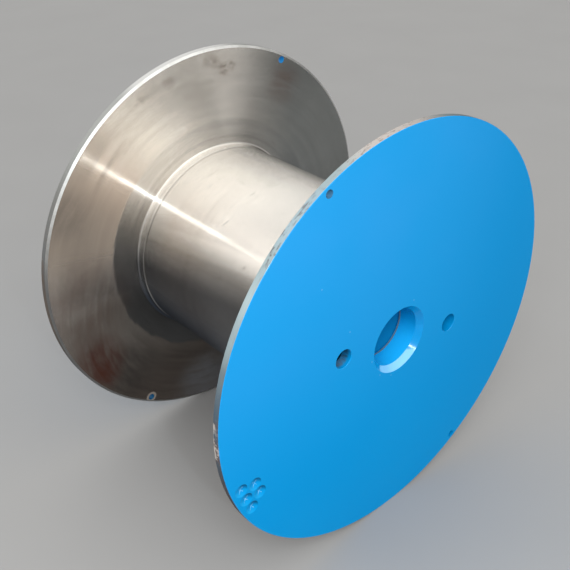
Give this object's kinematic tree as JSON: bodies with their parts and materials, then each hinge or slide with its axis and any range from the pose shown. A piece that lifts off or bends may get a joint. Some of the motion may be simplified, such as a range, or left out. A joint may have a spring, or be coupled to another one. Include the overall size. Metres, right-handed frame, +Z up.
{
  "type": "steel cable drum",
  "caption": "Turned steel drum for winding cable or wire, with a barrel between round flanges, painted outer faces, a chamfered centre bore and drive holes.",
  "frame": {"origin": "on the drum's axis, halfway between the flanges", "axes": "+Y along the drum's axis, from the flange with the balance drillings to the other; +Z up, with the drum lying on its rims"},
  "size_m": [0.8999, 0.596, 0.9],
  "materials": {
    "blue_paint": "smooth satin sky-blue enamel on the outer faces and in the bores; the rims and inner faces are bare turned steel",
    "turned_steel": "bare turned steel with fine marks round the axis"
  },
  "bodies": {
    "root": {"flange_near": "blue_paint", "flange_far": "blue_paint", "barrel": "turned_steel", "hub_near": "blue_paint", "hub_far": "blue_paint", "centre_tube": "blue_paint"}
  },
  "joints": []
}
